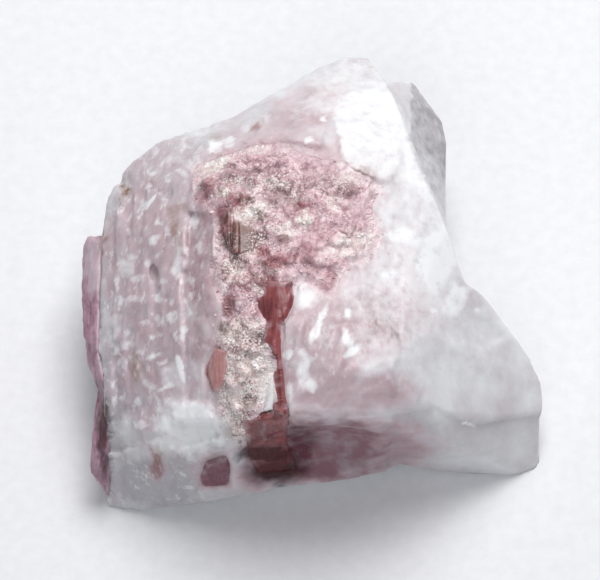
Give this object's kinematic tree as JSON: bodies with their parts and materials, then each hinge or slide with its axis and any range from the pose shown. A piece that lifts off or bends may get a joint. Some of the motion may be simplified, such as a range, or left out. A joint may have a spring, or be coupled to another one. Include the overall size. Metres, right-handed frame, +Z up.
{
  "type": "mineral specimen",
  "caption": "Broken block of milky albite with rose tourmaline crystals and a sugary pink crust grown into its display side; it lies on a flat base.",
  "frame": {"origin": "on the resting face, under the middle of the specimen's bounding box", "axes": "+Z up from the resting face, -Y towards the steep front below the display side, +X towards the low wing at the right"},
  "size_m": [0.0738, 0.0706, 0.0364],
  "materials": {
    "milky_albite": "translucent milky, waxy to glassy on cleavage faces",
    "sugary_pink": "granular, sugary, glassy grains",
    "rose_red": "glassy, striated along the crystal",
    "brown_red": "glassy, coarsely striated",
    "plum": "glassy, seen through a milky skin",
    "pale_rose": "satin, translucent"
  },
  "bodies": {
    "root": {"albite_matrix": "milky_albite", "tourmaline_crust": "sugary_pink", "main_tourmaline": "rose_red", "striated_tourmaline": "brown_red", "stub_tourmaline": "rose_red", "corner_tourmaline": "plum", "side_tourmaline": "pale_rose"}
  },
  "joints": []
}
